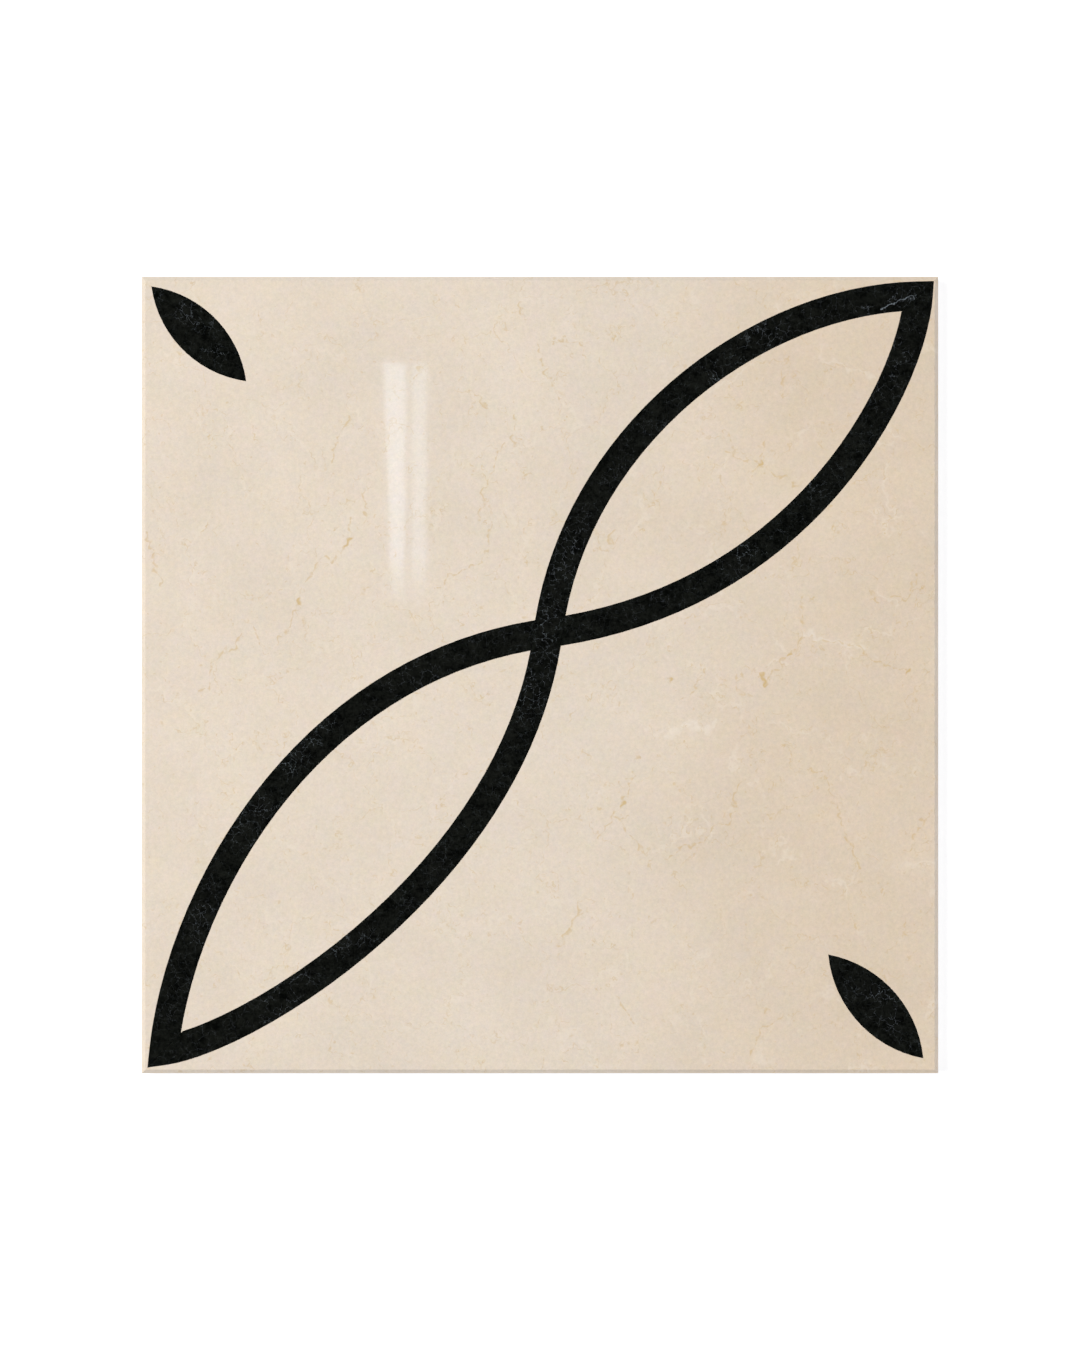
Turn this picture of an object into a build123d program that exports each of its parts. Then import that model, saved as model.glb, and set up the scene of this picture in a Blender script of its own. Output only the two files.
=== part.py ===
# Marble floor tile: a sawn cream slab with black marble bands and leaves let into its polished face.
# Millimetres. The underside is at Z = 0, +X is the photo's right and +Y its top.
import os
from math import copysign, cos, radians, sin

from build123d import *

# Slab
tile_side = 600
tile_thickness = 20
edge_chamfer = 3

# Inlay pockets, and the joint left round each inlay for its setting resin
inlay_depth = 10
inlay_joint = 0.2

# Two bands cross at one point, each with its own heading there in degrees from +X
band_width = 22
crossing = Vector(6, 31.6)
long_heading = 82.5
short_heading = 7.7

# Clear face between the tip of each loop and the chamfer
upper_tip_margin = 0.5
lower_tip_margin = 1.5

# Angle in degrees that each arm makes with the tile's edge where it runs into its tip
upper_left_splay = 1
upper_right_splay = 4
lower_left_splay = 6
lower_right_splay = 8

# How strongly each arm holds its direction, at the crossing and at its tip
upper_left_pull = (149, 123)
upper_right_pull = (198, 64)
lower_left_pull = (184, 118)
lower_right_pull = (184, 66)

# Leaves: tip to tip, across the middle, heading of the outer tip, and clear face from it to the chamfer
upper_leaf_length = 101
upper_leaf_width = 34
upper_leaf_heading = 135
upper_leaf_margin = 4.5
lower_leaf_length = 106
lower_leaf_width = 35.5
lower_leaf_heading = 312.5
lower_leaf_margin = 8.5

half_face = tile_side / 2 - edge_chamfer
inlay_floor = tile_thickness - inlay_depth

upper_tip = Vector(1, 1) * (half_face - upper_tip_margin)
lower_tip = Vector(-1, -1) * (half_face - lower_tip_margin)


def direction(degrees):
    return Vector(cos(radians(degrees)), sin(radians(degrees)))


def past_mitre(tip, heading, inset):
    # What lies past the mitre at a tip, where the two pieces share the joint half and half
    reach = 3 * band_width
    centre = tip + direction(heading) * (reach - inset / 2)
    return Pos(centre) * Rot(0, 0, heading) * Rectangle(2 * reach, 2 * reach)


def arm(start_heading, tip, end_heading, other_heading, pull, inset):
    # One arm leaves the crossing on its band's heading and meets the loop's other arm in a mitred tip
    half_angle = (other_heading - end_heading) / 2
    mitre_heading = end_heading + half_angle
    corner = tip - direction(mitre_heading) * (band_width / 2 / sin(radians(abs(half_angle))))
    leaving = crossing + direction(start_heading) * pull[0]
    arriving = corner - direction(end_heading) * pull[1]
    curve = Bezier(crossing, leaving, arriving, corner)
    overrun = Line(corner, corner + direction(end_heading) * band_width)
    band = trace([curve, overrun], line_width=band_width - 2 * inset)
    return band - past_mitre(tip, mitre_heading - copysign(90, half_angle), inset)


def long_outline(inset):
    # The long band runs through the crossing from tip to tip
    upper_left = arm(
        long_heading, upper_tip, upper_left_splay, 90 - upper_right_splay, upper_left_pull, inset)
    lower_right = arm(
        long_heading + 180, lower_tip, 180 + lower_right_splay, 270 - lower_left_splay, lower_right_pull, inset)
    return upper_left + lower_right


def upper_right(inset):
    return arm(
        short_heading, upper_tip, 90 - upper_right_splay, upper_left_splay, upper_right_pull, inset)


def lower_left(inset):
    return arm(
        short_heading + 180, lower_tip, 270 - lower_left_splay, 180 + lower_right_splay, lower_left_pull, inset)


def leaf(length, width, heading, outer_tip, inset):
    # Two equal arcs that meet in a point at both ends
    radius = (length ** 2 + width ** 2) / (4 * width)
    middle = outer_tip - direction(heading) * (length / 2)
    side = direction(heading + 90) * (radius - width / 2)
    disc = Circle(radius - inset)
    return (Pos(middle + side) * disc) & (Pos(middle - side) * disc)


def upper_leaf(inset):
    outer_tip = Vector(-1, 1) * (half_face - upper_leaf_margin)
    return leaf(upper_leaf_length, upper_leaf_width, upper_leaf_heading, outer_tip, inset)


def lower_leaf(inset):
    outer_tip = Vector(1, -1) * (half_face - lower_leaf_margin)
    return leaf(lower_leaf_length, lower_leaf_width, lower_leaf_heading, outer_tip, inset)


def raised(outline):
    # From the pocket floor up to the tile's face
    return extrude(Pos(0, 0, inlay_floor) * outline, inlay_depth)


# Slab with its top edges chamfered, and the pockets cut in it
blank = Box(tile_side, tile_side, tile_thickness, align=(Align.CENTER, Align.CENTER, Align.MIN))
slab = chamfer(blank.faces().sort_by(Axis.Z)[-1].edges(), edge_chamfer)
long_pocket = long_outline(0)
slab -= raised(long_pocket + upper_right(0) + lower_left(0))
slab -= raised(upper_leaf(0))
slab -= raised(lower_leaf(0))

# Inlays: the short band is two arms, each butted to the long band at the crossing and mitred to it at a tip
pieces = {
    "marble_slab": slab,
    "long_band": raised(long_outline(inlay_joint)),
    "upper_arm": raised(upper_right(inlay_joint) - long_pocket),
    "lower_arm": raised(lower_left(inlay_joint) - long_pocket),
    "upper_left_leaf": raised(upper_leaf(inlay_joint)),
    "lower_right_leaf": raised(lower_leaf(inlay_joint)),
}

os.makedirs("parts", exist_ok=True)
for name, piece in pieces.items():
    export_step(piece, f"parts/{name}.step")
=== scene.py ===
import bpy
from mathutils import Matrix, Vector


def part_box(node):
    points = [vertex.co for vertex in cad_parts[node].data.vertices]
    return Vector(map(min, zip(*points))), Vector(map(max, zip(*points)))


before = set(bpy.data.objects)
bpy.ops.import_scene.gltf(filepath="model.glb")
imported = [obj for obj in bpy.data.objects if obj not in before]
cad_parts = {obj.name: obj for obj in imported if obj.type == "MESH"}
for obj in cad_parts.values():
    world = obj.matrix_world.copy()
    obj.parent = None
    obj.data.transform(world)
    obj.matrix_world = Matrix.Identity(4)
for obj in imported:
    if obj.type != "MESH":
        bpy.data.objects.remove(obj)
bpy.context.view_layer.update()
scene = bpy.context.scene
scene.view_settings.view_transform = "Standard"


# Cream slab
# One slab of cream limestone marble, sawn to a square. Its face and chamfer are ground and polished after the
# inlays are set, and its four edges and its back are left as the saw cut them.
mm = 0.001
marble_ior = 1.5
polished_roughness = 0.026
sawn_roughness = 0.6
# The first two creams carry painted shade as well as the stone's tone: paler and cooler for the lit left
# side, darker and warmer for the right
pale_lit_cream = "#E4D7C6"
warm_shaded_cream = "#DFCEB8"
seam_cream = "#EFE4D5"
wisp_white = "#F4ECE0"
ochre = "#CDAC66"
sawn_white = "#EDE4D8"


def linear(hex_colour):
    """The linear RGBA of an sRGB hex colour."""
    shares = [int(hex_colour[i:i + 2], 16) / 255 for i in (1, 3, 5)]
    return [s / 12.92 if s <= 0.04045 else ((s + 0.055) / 1.055) ** 2.4 for s in shares] + [1]


def add(tree, kind, inputs=None, **settings):
    """One node with its settings, and a value or a link for each input that is given. Returns its outputs."""
    node = tree.nodes.new("ShaderNode" + kind)
    for name, value in settings.items():
        setattr(node, name, value)
    for socket, value in (inputs or {}).items():
        if isinstance(value, bpy.types.NodeSocket):
            tree.links.new(value, node.inputs[socket])
        else:
            node.inputs[socket].default_value = value
    return node.outputs


def new_material(name):
    """An empty material, its node tree and its surface shader's inputs."""
    material = bpy.data.materials.new(name)
    material.use_nodes = True
    tree = material.node_tree
    return material, tree, tree.nodes["Principled BSDF"].inputs


def per_metre(millimetres):
    """Texture scale that gives features of this size."""
    return 1000 / millimetres


# Distance from a place to one straight stretch of a vein, both on the tile's face. Rate is the run over its
# square, so that it turns the way from the start into a share of the run.
vein_stretch = bpy.data.node_groups.new("vein_stretch", "ShaderNodeTree")
for socket in ("Place", "Start", "Run", "Rate"):
    vein_stretch.interface.new_socket(socket, in_out="INPUT", socket_type="NodeSocketVector")
vein_stretch.interface.new_socket("Distance", in_out="OUTPUT", socket_type="NodeSocketFloat")
given = vein_stretch.nodes.new("NodeGroupInput").outputs
reach = add(vein_stretch, "VectorMath", {0: given["Place"], 1: given["Start"]}, operation="SUBTRACT")[0]
share = add(vein_stretch, "VectorMath", {0: reach, 1: given["Rate"]}, operation="DOT_PRODUCT")["Value"]
share = add(vein_stretch, "Clamp", {0: share})[0]
foot = add(vein_stretch, "VectorMath", {0: given["Run"], "Scale": share}, operation="SCALE")[0]
gap = add(vein_stretch, "VectorMath", {0: reach, 1: foot}, operation="DISTANCE")["Value"]
vein_stretch.links.new(gap, vein_stretch.nodes.new("NodeGroupOutput").inputs["Distance"])


def nearest_vein(tree, place, veins):
    """Distance to the nearest of some veins, each a run of (x, y) points in millimetres on the face."""
    nearest = 1.0
    for vein in veins:
        points = [Vector((x, y, 0)) * mm for x, y in vein]
        for start, end in zip(points, points[1:]):
            run = end - start
            stretch = add(tree, "Group", {
                "Place": place, "Start": start, "Run": run, "Rate": run / run.length_squared,
            }, node_tree=vein_stretch)["Distance"]
            nearest = add(tree, "Math", {0: nearest, 1: stretch}, operation="MINIMUM")[0]
    return nearest


# The ochre veinlets that stand out on the face, the knots where they pool, and the pale wisps beside them
veins = [
    ((-142, 193), (-153, 179), (-157, 161)),
    ((-134, 140), (-129, 116)),
    ((-141, 118), (-145, 97), (-157, 86), (-161, 90), (-176, 70)),
    ((-181, 57), (-187, 37), (-195, 29), (-200, 21)),
    ((-222, 40), (-216, 38), (-207, 20)),
    ((-226, 32), (-227, 20), (-240, 16), (-247, 6), (-249, -10), (-257, -14)),
    ((-296, 108), (-288, 78), (-285, 65)),
    ((-86, 236), (-97, 218)),
    ((-56, 217), (-38, 200)),
    ((-15, 280), (-12, 268)),
    ((-4, 250), (5, 229), (14, 208)),
    ((12, 254), (29, 250), (35, 247)),
    ((-19, 195), (-20, 180), (-17, 170)),
    ((-28, 172), (-42, 140), (-45, 117)),
    ((-37, 115), (-39, 95), (-47, 84), (-70, 74), (-75, 66)),
    ((186, 228), (183, 212)),
    ((169, 180), (165, 158), (158, 152)),
    ((142, 167), (165, 158), (196, 142)),
    ((92, 147), (82, 132)),
    ((55, 108), (54, 98)),
    ((197, 50), (197, 29), (188, 14), (170, -4)),
    ((197, 29), (240, 22), (249, 11), (277, 2)),
    ((250, 62), (257, 54)),
    ((266, 58), (276, 56), (284, 78)),
    ((124, 2), (112, -16), (104, -20)),
    ((28, -25), (21, -36)),
    ((70, -74), (62, -97), (56, -105), (43, -122)),
    ((58, -108), (76, -130)),
    ((151, -80), (143, -112), (127, -117), (121, -127), (102, -131), (97, -139)),
    ((203, -73), (214, -72), (219, -88), (232, -122), (241, -148)),
    ((296, -104), (288, -108), (281, -126), (276, -134)),
    ((276, -185), (276, -196)),
    ((235, -185), (240, -192)),
    ((30, -175), (24, -192), (13, -202)),
    ((60, -243), (70, -262)),
    ((183, -254), (166, -270), (157, -286)),
]
knots = [
    ((168, -1), (171, -7)), ((188, 15), (189, 17)), ((100, -4), (100, -6)), ((61, -97), (63, -96)),
    ((-145, 101), (-145, 98)), ((165, 158), (167, 160)), ((277, 1), (278, 2)), ((-181, 57), (-181, 55)),
]
wisps = [
    ((96, -48), (105, -41), (117, -35)), ((118, -38), (126, -42), (132, -34)), ((199, 31), (243, 20)),
]

# Polished cream marble: a pale ground with painted shade, darker and warmer to the right, thin ochre veinlets
# and a mirror gloss
marble, tree, surface = new_material("cream_marble_polished")
coordinates = add(tree, "TexCoord")
place = coordinates["Object"]
facing = add(tree, "SeparateXYZ", {0: coordinates["Normal"]})["Z"]
polish = add(tree, "MapRange", {"Value": facing, "From Min": 0.3, "From Max": 0.5})[0]

# Painted shade over the stone's own tone: the slab is painted paler and cooler at the left, towards the key
# light, and darker and warmer towards the right, with a slow wobble
across = add(tree, "SeparateXYZ", {0: place})["X"]
drift = add(tree, "TexNoise", {
    "Vector": place, "Scale": per_metre(260), "Detail": 1}, noise_dimensions="2D")[0]
painted_shade_slope = add(tree, "Math", {0: drift, 1: 0.25, 2: across}, operation="MULTIPLY_ADD")[0]
painted_shade_slope = add(tree, "MapRange", {
    "Value": painted_shade_slope, "From Min": 0.1, "From Max": 0.38}, interpolation_type="SMOOTHSTEP")[0]
ground = add(tree, "Mix", {
    "Factor": painted_shade_slope, "A": linear(pale_lit_cream), "B": linear(warm_shaded_cream)}, data_type="RGBA")["Result"]

# Pale clouds, a sugary grain, and a faint change from pinkish to yellowish crystal at every size
cloud = add(tree, "TexNoise", {
    "Vector": place, "Scale": per_metre(90), "Detail": 3, "Roughness": 0.55}, noise_dimensions="2D")[0]
cloud = add(tree, "MapRange", {"Value": cloud, "To Min": 0.94, "To Max": 1.06}, clamp=False)[0]
grain = add(tree, "TexNoise", {"Vector": place, "Scale": per_metre(3), "Detail": 2, "Roughness": 1})[0]
grain = add(tree, "MapRange", {"Value": grain, "To Min": 0.87, "To Max": 1.13}, clamp=False)[0]
grain = add(tree, "Math", {0: grain, 1: cloud}, operation="MULTIPLY")[0]
ground = add(tree, "VectorMath", {0: ground, "Scale": grain}, operation="SCALE")[0]
tint = add(tree, "TexNoise", {
    "Vector": place, "Scale": per_metre(26), "Detail": 4, "Roughness": 1}, noise_dimensions="2D")["Color"]
tint = add(tree, "VectorMath", {
    0: tint, 1: (0.1, 0.03, 0.2), 2: (0.95, 0.985, 0.9)}, operation="MULTIPLY_ADD")[0]
ground = add(tree, "VectorMath", {0: ground, 1: tint}, operation="MULTIPLY")[0]

# Healed cracks cross the block in a ragged net, which shows in places as a pale seam or a broken ochre hair
wander = add(tree, "TexNoise", {
    "Vector": place, "Scale": per_metre(45), "Detail": 4, "Roughness": 0.65}, noise_dimensions="2D")["Color"]
wander = add(tree, "VectorMath", {0: wander, 1: (0.5, 0.5, 0.5)}, operation="SUBTRACT")[0]
torn = add(tree, "VectorMath", {0: wander, 1: [70 * mm] * 3, 2: place}, operation="MULTIPLY_ADD")[0]
net = add(tree, "TexVoronoi", {
    "Vector": torn, "Scale": per_metre(62)}, voronoi_dimensions="2D", feature="DISTANCE_TO_EDGE")[0]
patch = add(tree, "TexNoise", {
    "Vector": place, "Scale": per_metre(34), "Detail": 3, "Roughness": 0.7}, noise_dimensions="2D")[0]
seam = add(tree, "MapRange", {
    "Value": net, "From Max": 0.05, "To Min": 1, "To Max": 0}, interpolation_type="SMOOTHSTEP")[0]
pale = add(tree, "MapRange", {"Value": patch, "From Min": 0.46, "From Max": 0.62, "To Max": 0.4})[0]
seam = add(tree, "Math", {0: seam, 1: pale}, operation="MULTIPLY")[0]
ground = add(tree, "Mix", {"Factor": seam, "A": ground, "B": linear(seam_cream)}, data_type="RGBA")["Result"]
hair = add(tree, "MapRange", {
    "Value": net, "From Min": 0.003, "From Max": 0.016, "To Min": 1, "To Max": 0})[0]
clear = add(tree, "MapRange", {
    "Value": patch, "From Min": 0.58, "From Max": 0.44, "To Min": 0.08, "To Max": 0.42})[0]
hair = add(tree, "Math", {0: hair, 1: clear}, operation="MULTIPLY")[0]

# Finer hairs gather in clusters where the seams are palest
fine = add(tree, "TexVoronoi", {
    "Vector": torn, "Scale": per_metre(21)}, voronoi_dimensions="2D", feature="DISTANCE_TO_EDGE")[0]
fine = add(tree, "MapRange", {
    "Value": fine, "From Min": 0.006, "From Max": 0.034, "To Min": 1, "To Max": 0})[0]
cluster = add(tree, "MapRange", {"Value": patch, "From Min": 0.53, "From Max": 0.66, "To Max": 0.55})[0]
fine = add(tree, "Math", {0: fine, 1: cluster}, operation="MULTIPLY")[0]
hair = add(tree, "Math", {0: hair, 1: fine}, operation="MAXIMUM")[0]

# The larger veinlets zigzag about their line and swell into beads, with a few knots and pale wisps
jitter = add(tree, "TexNoise", {
    "Vector": place, "Scale": per_metre(9), "Detail": 1, "Roughness": 0.7}, noise_dimensions="2D")["Color"]
jitter = add(tree, "VectorMath", {0: jitter, 1: (0.5, 0.5, 0.5)}, operation="SUBTRACT")[0]
zigzag = add(tree, "VectorMath", {0: jitter, 1: (11 * mm, 11 * mm, 0), 2: place}, operation="MULTIPLY_ADD")[0]
zigzag = add(tree, "VectorMath", {0: zigzag, 1: (1, 1, 0)}, operation="MULTIPLY")[0]
fleck = add(tree, "TexNoise", {
    "Vector": place, "Scale": per_metre(4.5), "Detail": 2, "Roughness": 0.6}, noise_dimensions="2D")[0]
wisp = add(tree, "MapRange", {
    "Value": nearest_vein(tree, zigzag, wisps), "From Min": 0.3 * mm, "From Max": 3.5 * mm,
    "To Min": 0.6, "To Max": 0}, interpolation_type="SMOOTHSTEP")[0]
wisp = add(tree, "Math", {0: wisp, 1: fleck}, operation="MULTIPLY")[0]
ground = add(tree, "Mix", {"Factor": wisp, "A": ground, "B": linear(wisp_white)}, data_type="RGBA")["Result"]
bead = add(tree, "MapRange", {
    "Value": fleck, "From Min": 0.4, "From Max": 0.7, "To Min": 0.5 * mm, "To Max": 1.9 * mm})[0]
line = add(tree, "MapRange", {
    "Value": nearest_vein(tree, zigzag, veins), "From Min": 0.1 * mm, "From Max": bead,
    "To Min": 0.52, "To Max": 0})[0]
line = add(tree, "Math", {0: line, 1: hair}, operation="MAXIMUM")[0]
broken = add(tree, "MapRange", {
    "Value": fleck, "From Min": 0.36, "From Max": 0.62, "To Min": 0.18, "To Max": 0.85,
}, interpolation_type="SMOOTHSTEP")[0]
line = add(tree, "Math", {0: line, 1: broken}, operation="MULTIPLY")[0]
knot = add(tree, "MapRange", {
    "Value": nearest_vein(tree, zigzag, knots), "From Min": 0.4 * mm, "From Max": 1.8 * mm,
    "To Min": 0.65, "To Max": 0})[0]
line = add(tree, "Math", {0: line, 1: knot}, operation="MAXIMUM")[0]
speck = add(tree, "MapRange", {"Value": fleck, "From Min": 0.72, "From Max": 0.8, "To Max": 0.3})[0]
line = add(tree, "Math", {0: line, 1: speck}, operation="MAXIMUM")[0]
ground = add(tree, "Mix", {"Factor": line, "A": ground, "B": linear(ochre)}, data_type="RGBA")["Result"]

# The polish is mirror smooth with a faint waviness. The sawn edges and back are chalky, with fine saw marks
# that run along each edge and one way across the back
spread = add(tree, "MapRange", {"Value": facing, "From Min": -0.3, "From Max": -0.5, "To Min": 0.05})[0]
spread = add(tree, "CombineXYZ", {"X": 0.05, "Y": spread, "Z": 1})[0]
sawn = add(tree, "VectorMath", {0: place, 1: spread}, operation="MULTIPLY")[0]
marks = add(tree, "TexNoise", {"Vector": sawn, "Scale": per_metre(1.5), "Detail": 1})[0]
swell = add(tree, "TexNoise", {"Vector": place, "Scale": per_metre(30), "Detail": 0})[0]
relief = add(tree, "Mix", {"Factor": polish, "A": marks, "B": swell})["Result"]
depth = add(tree, "MapRange", {"Value": polish, "To Min": 0.1 * mm, "To Max": 0.01 * mm})[0]
normal = add(tree, "Bump", {"Height": relief, "Distance": depth})[0]
chalk = add(tree, "MapRange", {"Value": polish, "To Min": 0.3, "To Max": 0})[0]
ground = add(tree, "Mix", {"Factor": chalk, "A": ground, "B": linear(sawn_white)}, data_type="RGBA")["Result"]
rough = add(tree, "MapRange", {"Value": polish, "To Min": sawn_roughness, "To Max": polished_roughness})[0]

tree.links.new(ground, surface["Base Color"])
tree.links.new(rough, surface["Roughness"])
tree.links.new(normal, surface["Normal"])
surface["IOR"].default_value = marble_ior
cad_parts["marble_slab"].material_slots[0].material = marble


# Black inlays
# Bands and leaves of black marble cut to shape from thin slab, bedded in resin in the slab's pockets and
# polished flush with it. Each piece comes from its own part of the block, so no two have the same veins.
deep_black = "#020302"
cloud_grey = "#1D1F1B"
calcite_grey = "#788086"


def black_marble(piece, offset, webs, veins=()):
    """Gives one inlay its own stretch of black marble, found at this offset in millimetres in the block.

    The hairlines are thickest round the webs, and the veins stand out most.
    """
    # Polished black marble: all but black, with broken grey hairlines and the same mirror gloss as the slab
    stone, tree, surface = new_material("black_marble_polished_" + piece)
    face = add(tree, "TexCoord")["Object"]
    place = add(tree, "Mapping", {"Vector": face, "Location": Vector(offset) * mm})[0]

    # Deep black with greenish grey clouds and a fine grain
    cloud = add(tree, "TexNoise", {"Vector": place, "Scale": per_metre(8), "Detail": 4, "Roughness": 1})[0]
    cloud = add(tree, "MapRange", {"Value": cloud, "From Min": 0.4, "From Max": 0.7})[0]
    ground = add(tree, "Mix", {
        "Factor": cloud, "A": linear(deep_black), "B": linear(cloud_grey)}, data_type="RGBA")["Result"]

    # Calcite hairlines in a fine net, dense round the webs and all but gone elsewhere
    wander = add(tree, "TexNoise", {
        "Vector": place, "Scale": per_metre(14), "Detail": 4, "Roughness": 0.7})["Color"]
    wander = add(tree, "VectorMath", {0: wander, 1: (0.5, 0.5, 0.5)}, operation="SUBTRACT")[0]
    torn = add(tree, "VectorMath", {0: wander, 1: [20 * mm] * 3, 2: place}, operation="MULTIPLY_ADD")[0]
    net = add(tree, "TexVoronoi", {
        "Vector": torn, "Scale": per_metre(6)}, voronoi_dimensions="2D", feature="DISTANCE_TO_EDGE")[0]
    net = add(tree, "MapRange", {
        "Value": net, "From Min": 0.003, "From Max": 0.028, "To Min": 1, "To Max": 0})[0]
    flat = add(tree, "VectorMath", {
        0: wander, 1: (11 * mm, 11 * mm, 0), 2: face}, operation="MULTIPLY_ADD")[0]
    flat = add(tree, "VectorMath", {0: flat, 1: (1, 1, 0)}, operation="MULTIPLY")[0]
    patch = add(tree, "MapRange", {
        "Value": nearest_vein(tree, flat, webs), "From Min": 4 * mm, "From Max": 16 * mm,
        "To Min": 0.76, "To Max": 0.22})[0]
    broken = add(tree, "TexNoise", {
        "Vector": place, "Scale": per_metre(12), "Detail": 3, "Roughness": 0.7})[0]
    broken = add(tree, "MapRange", {"Value": broken, "From Min": 0.4, "From Max": 0.66})[0]
    net = add(tree, "Math", {0: net, 1: patch}, operation="MULTIPLY")[0]
    net = add(tree, "Math", {0: net, 1: broken}, operation="MULTIPLY")[0]
    if veins:
        line = add(tree, "MapRange", {
            "Value": nearest_vein(tree, flat, veins), "From Min": 0.1 * mm, "From Max": 0.42 * mm,
            "To Min": 0.75, "To Max": 0})[0]
        net = add(tree, "Math", {0: net, 1: line}, operation="MAXIMUM")[0]
    ground = add(tree, "Mix", {
        "Factor": net, "A": ground, "B": linear(calcite_grey)}, data_type="RGBA")["Result"]

    tree.links.new(ground, surface["Base Color"])
    surface["Roughness"].default_value = polished_roughness
    surface["IOR"].default_value = marble_ior
    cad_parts[piece].material_slots[0].material = stone


black_marble("long_band", (0, 0, 0), webs=[
    ((250, 274), (282, 282)), ((176, 261), (134, 224)), ((25, 107), (13, 71), (6, 29), (2, 5), (-11, -27)),
    ((-135, -193), (-149, -207)), ((-184, -232), (-198, -254)),
], veins=[
    ((255, 275), (258, 276), (262, 278), (266, 279), (269, 282), (273, 283), (276, 284), (281, 284),
     (283, 281)),
])
black_marble("upper_arm", (310, 90, 40), webs=[
    ((266, 240), (255, 214)), ((204, 140), (203, 139)), ((155, 91), (145, 87)),
])
black_marble("lower_arm", (-140, 420, 80), webs=[
    ((-88, -2), (-96, 5)), ((-168, -36), (-187, -66)), ((-207, -101), (-229, -122)),
    ((-251, -182), (-251, -194)),
])
black_marble("upper_left_leaf", (530, -260, 120), webs=[((-262, 268), (-246, 250))])
black_marble("lower_right_leaf", (-370, -510, 160), webs=[((252, -240), (262, -256))])


# Floor
# A sheet of plain matt white paper under the tile, a little clear of it. It looks white to the camera and in
# reflections, keeps a light shadow, and ends where the light on it still reads white.
floor_side = 6.8
floor_level = -0.5 * mm
paper_glow = 0.75
half = floor_side / 2
corners = [(x, y, floor_level) for x, y in ((-half, -half), (half, -half), (half, half), (-half, half))]
floor_mesh = bpy.data.meshes.new("floor")
floor_mesh.from_pydata(corners, [], [(0, 1, 2, 3)])
floor = bpy.data.objects.new("floor", floor_mesh)
scene.collection.objects.link(floor)
paper, tree, surface = new_material("white_studio_paper")
seen = add(tree, "LightPath")
direct = add(tree, "Math", {0: seen["Is Camera Ray"], 1: seen["Is Glossy Ray"]}, operation="MAXIMUM")[0]
direct = add(tree, "Math", {0: direct, 1: seen["Is Transmission Ray"]}, operation="MAXIMUM")[0]
glow = add(tree, "Math", {0: direct, 1: paper_glow}, operation="MULTIPLY")[0]
surface["Base Color"].default_value = linear("#B8B8B8")
surface["Roughness"].default_value = 0.9
surface["Specular IOR Level"].default_value = 0
surface["Emission Color"].default_value = (1, 1, 1, 1)
tree.links.new(glow, surface["Emission Strength"])
floor_mesh.materials.append(paper)


# Light
# A large soft key on the left, a weaker and lower fill on the right, and pale studio walls under a dark
# ceiling. The wall at the foot of the picture is a little warmer, and the camera sees white in place of them.


def soft_lamp(name, place, size, watts, colour):
    """A square area lamp that faces the tile."""
    lamp = bpy.data.objects.new(name, bpy.data.lights.new(name, "AREA"))
    lamp.data.shape = "SQUARE"
    lamp.data.size = size
    lamp.data.energy = watts
    lamp.data.color = linear(colour)[:3]
    lamp.location = place
    lamp.rotation_euler = (-lamp.location).to_track_quat("-Z", "Y").to_euler()
    scene.collection.objects.link(lamp)


soft_lamp("key", (-3.8, 0.8, 5.4), 3.2, 412, "#FFFDFA")
soft_lamp("fill", (4.6, -0.6, 2.6), 3.0, 132, "#EAF0FF")

world = bpy.data.worlds.new("studio")
scene.world = world
world.use_nodes = True
tree = world.node_tree
way = add(tree, "SeparateXYZ", {0: add(tree, "TexCoord")["Generated"]})
seen = add(tree, "LightPath")["Is Camera Ray"]
walls = add(tree, "MapRange", {
    "Value": way["Z"], "From Min": 0.2, "From Max": 0.85, "To Min": 0.54, "To Max": 0.025,
}, interpolation_type="SMOOTHSTEP")[0]
walls = add(tree, "Math", {0: walls, 1: seen}, operation="MAXIMUM")[0]
warm = add(tree, "MapRange", {"Value": way["Y"], "From Min": -0.1, "From Max": -0.7})[0]
warm = add(tree, "Math", {0: warm, 1: seen}, operation="SUBTRACT", use_clamp=True)[0]
tone = add(tree, "Mix", {
    "Factor": warm, "A": linear("#FFFFFF"), "B": linear("#C2B7A8")}, data_type="RGBA")["Result"]
background = tree.nodes["Background"].inputs
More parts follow.
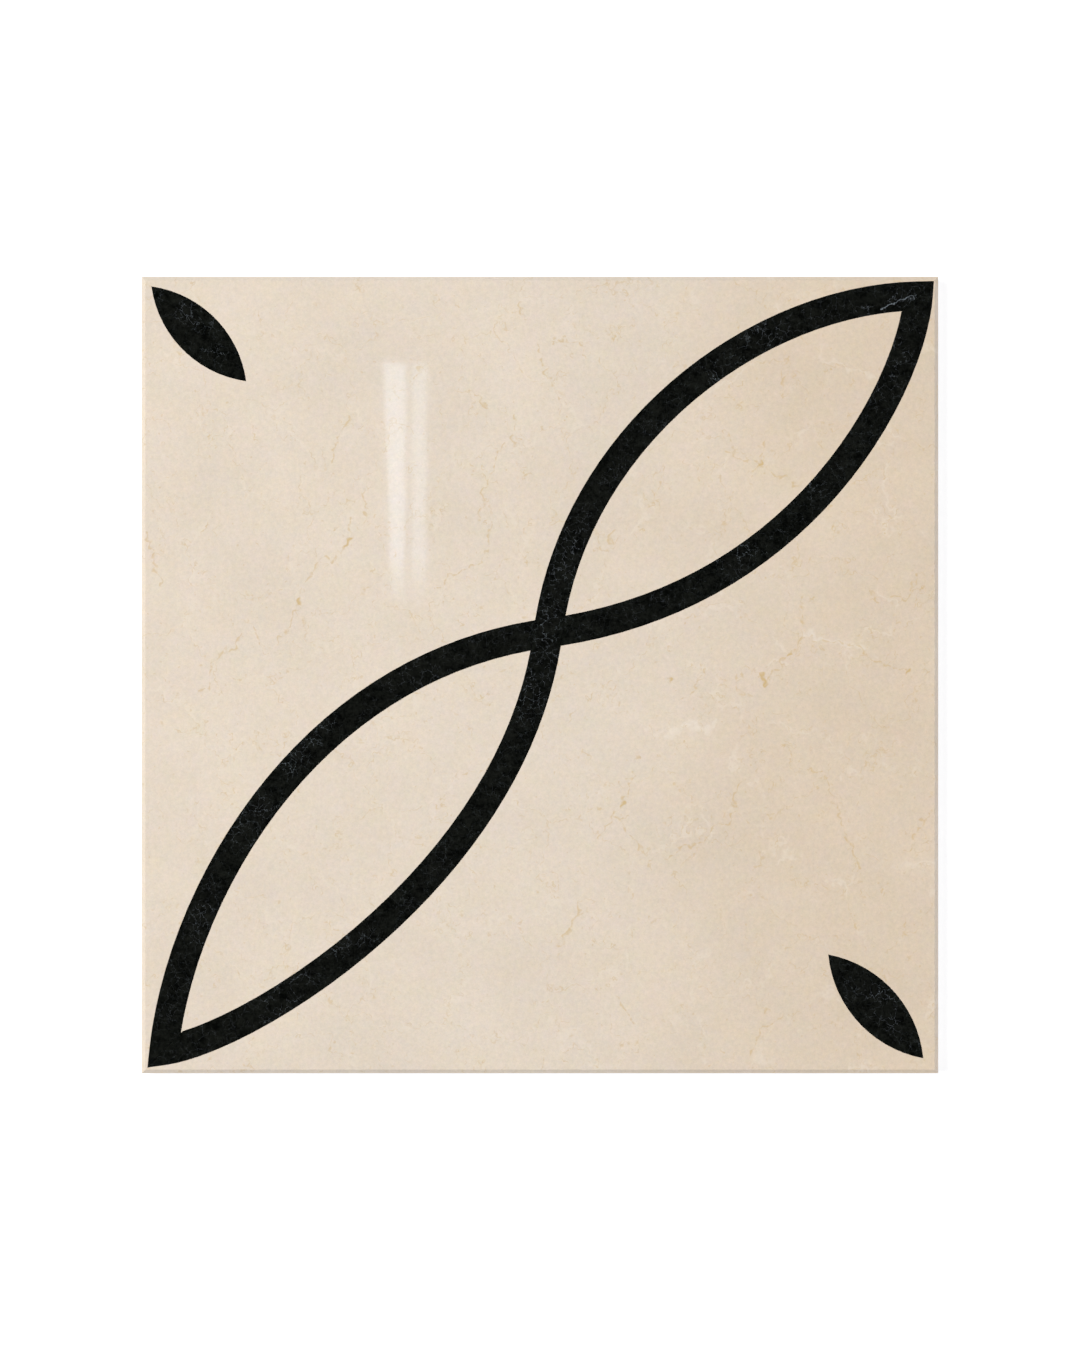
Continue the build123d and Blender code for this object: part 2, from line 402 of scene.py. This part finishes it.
tree.links.new(tone, background["Color"])
tree.links.new(walls, background["Strength"])


# Camera
# It looks straight down on the tile, from where the outer edge, at the foot of the chamfer, spans as much of
# the frame as in the photo.
frame_height_px = 1350
tile_span_px = 796.4
lens_mm = 100
sensor_mm = 36
low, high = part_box("marble_slab")
tile_side = high[0] - low[0]
chamfer = 3 * mm
camera = bpy.data.objects.new("camera", bpy.data.cameras.new("camera"))
camera.data.lens = lens_mm
camera.data.sensor_width = sensor_mm
distance = tile_side * frame_height_px / tile_span_px * lens_mm / sensor_mm
camera.location = (0, 0, high[2] - chamfer + distance)
scene.collection.objects.link(camera)
scene.camera = camera


# Strip lamps
# Two long lamps behind the camera, which show as a soft double streak in the polish and fade towards their
# foot. Each stands where the face mirrors it to, so its outline is given in millimetres on the face.
strip_height = 4
mirror = (distance + strip_height) / distance
foot_y, fade_y, head_y = 50, 90, 235
strips = [
    ("left", (-117.4, -101.4), (-111.4, -101.8), 4.3),
    ("right", (-96.5, -85), (-96, -86), 3.0),
]
for name, head, foot, radiance in strips:
    outline = ((foot[0], foot_y), (foot[1], foot_y), (head[1], head_y), (head[0], head_y))
    strip_mesh = bpy.data.meshes.new("strip_lamp_" + name)
    strip_mesh.from_pydata(
        [(x * mm * mirror, y * mm * mirror, high[2] + strip_height) for x, y in outline], [], [(3, 2, 1, 0)])
    strip = bpy.data.objects.new("strip_lamp_" + name, strip_mesh)
    strip.visible_camera = False
    strip.visible_diffuse = False
    scene.collection.objects.link(strip)
    glow, tree, surface = new_material("strip_diffuser_" + name)
    along = add(tree, "SeparateXYZ", {0: add(tree, "TexCoord")["Object"]})["Y"]
    strength = add(tree, "MapRange", {
        "Value": along, "From Min": foot_y * mm * mirror, "From Max": fade_y * mm * mirror,
        "To Max": radiance})[0]
    surface["Base Color"].default_value = (0, 0, 0, 1)
    surface["Specular IOR Level"].default_value = 0
    surface["Emission Color"].default_value = linear("#D3E8FF")
    tree.links.new(strength, surface["Emission Strength"])
    strip_mesh.materials.append(glow)
